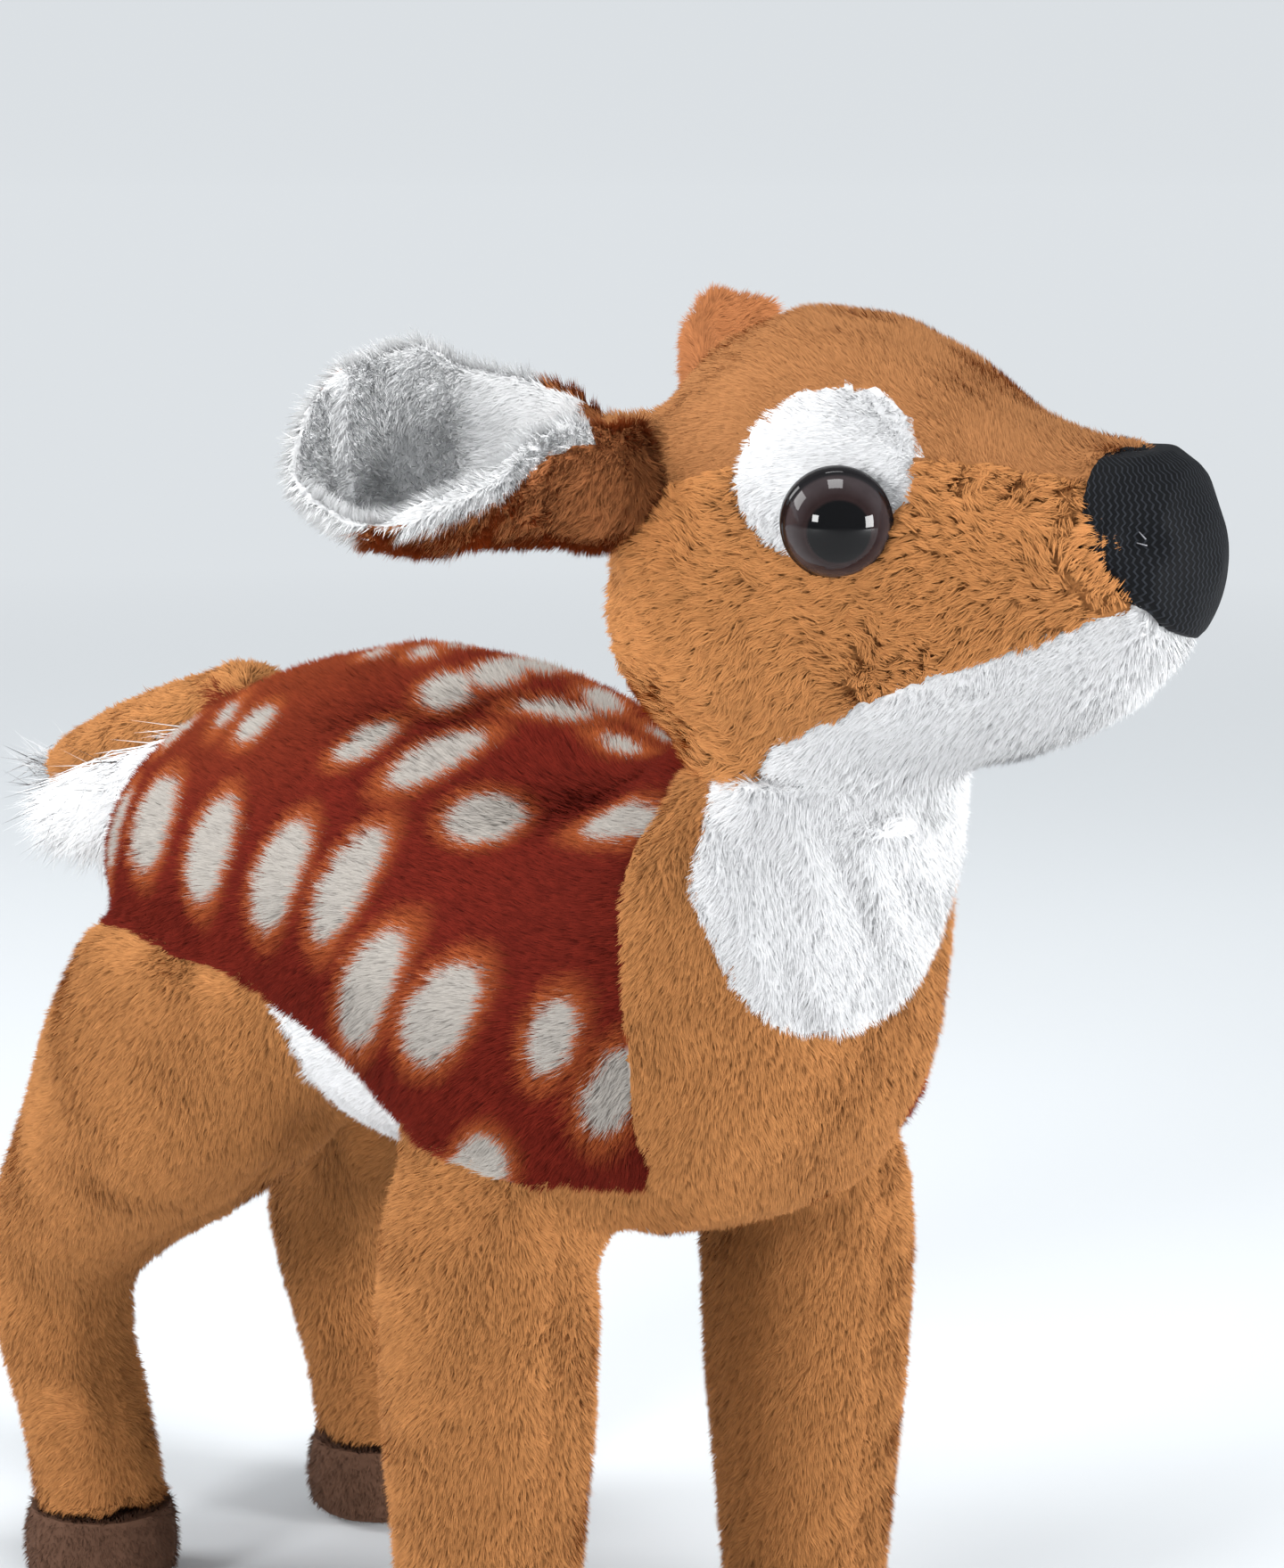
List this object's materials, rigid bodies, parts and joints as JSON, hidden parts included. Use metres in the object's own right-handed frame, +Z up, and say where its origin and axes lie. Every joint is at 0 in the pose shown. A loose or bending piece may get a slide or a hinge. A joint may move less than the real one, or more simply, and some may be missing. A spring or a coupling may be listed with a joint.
{
  "type": "plush deer",
  "caption": "Standing plush fawn with its head turned to its left, sewn from brown, tan and white panels, with a spotted saddle, domed eyes, cupped ears and a drooping tail.",
  "frame": {"origin": "on the floor, below the middle of the bounding box", "axes": "+X ahead, out of the chest; +Y to the fawn's left; +Z up"},
  "size_m": [0.2474, 0.1284, 0.2155],
  "materials": {
    "crown_plush": "short warm brown plush pile",
    "tan_plush": "tan plush pile, slightly curled",
    "saddle_plush": "longer rust-red pile with off-white spots",
    "white_plush": "white plush pile",
    "nose_twill": "black woven twill",
    "eye_plastic": "glossy domed safety eye, dark brown iris round a black pupil",
    "hoof_plush": "dark brown short plush",
    "fibre_filling": "polyester fibre filling",
    "washer_plastic": "white moulded lock washer"
  },
  "bodies": {
    "body": {"belly_panel": "white_plush", "bib_panel": "white_plush", "body_stuffing": "fibre_filling", "chest_panel": "tan_plush", "front_leg_left_hoof": "hoof_plush", "front_leg_left_inner_panel": "tan_plush", "front_leg_left_outer_panel": "tan_plush", "front_leg_left_stuffing": "fibre_filling", "front_leg_right_hoof": "hoof_plush", "front_leg_right_inner_panel": "tan_plush", "front_leg_right_outer_panel": "tan_plush", "front_leg_right_stuffing": "fibre_filling", "rear_leg_left_hoof": "hoof_plush", "rear_leg_left_inner_panel": "tan_plush", "rear_leg_left_outer_panel": "tan_plush", "rear_leg_left_stuffing": "fibre_filling", "rear_leg_right_hoof": "hoof_plush", "rear_leg_right_inner_panel": "tan_plush", "rear_leg_right_outer_panel": "tan_plush", "rear_leg_right_stuffing": "fibre_filling", "saddle_panel": "saddle_plush"},
    "head": {"crown_panel": "crown_plush", "cheek_left": "tan_plush", "cheek_right": "tan_plush", "chin_panel": "white_plush", "nose_patch": "nose_twill", "eye_patch_left": "white_plush", "eye_patch_right": "white_plush", "eye_left": "eye_plastic", "eye_right": "eye_plastic", "eye_washer_left": "washer_plastic", "eye_washer_right": "washer_plastic", "head_stuffing": "fibre_filling"},
    "ear_left": {"ear_left_back": "crown_plush", "ear_left_lining": "white_plush"},
    "ear_right": {"ear_right_back": "crown_plush", "ear_right_lining": "white_plush"},
    "tail": {"tail_top": "tan_plush", "tail_underside": "white_plush"}
  },
  "joints": [
    {"name": "head_turn", "type": "hinge", "parent": "body", "child": "head", "pos_m": [0.07298, 0.01398, 0.1535], "axis": [0, 0, 1], "range_deg": [-30, 15], "stiffness_Nm_per_rad": 0.03},
    {"name": "ear_left_fold", "type": "hinge", "parent": "head", "child": "ear_left", "pos_m": [0.04565, 0.02138, 0.192], "axis": [0.4054, 0.3426, -0.8475], "range_deg": [-20, 20], "stiffness_Nm_per_rad": 0.02},
    {"name": "ear_right_fold", "type": "hinge", "parent": "head", "child": "ear_right", "pos_m": [0.0629, -0.01248, 0.192], "axis": [-0.5265, 0.1071, 0.8434], "range_deg": [-20, 20], "stiffness_Nm_per_rad": 0.02},
    {"name": "tail_lift", "type": "hinge", "parent": "body", "child": "tail", "pos_m": [-0.06702, 0.01398, 0.1375], "axis": [0, 1, 0], "range_deg": [-12, 30], "stiffness_Nm_per_rad": 0.04}
  ]
}
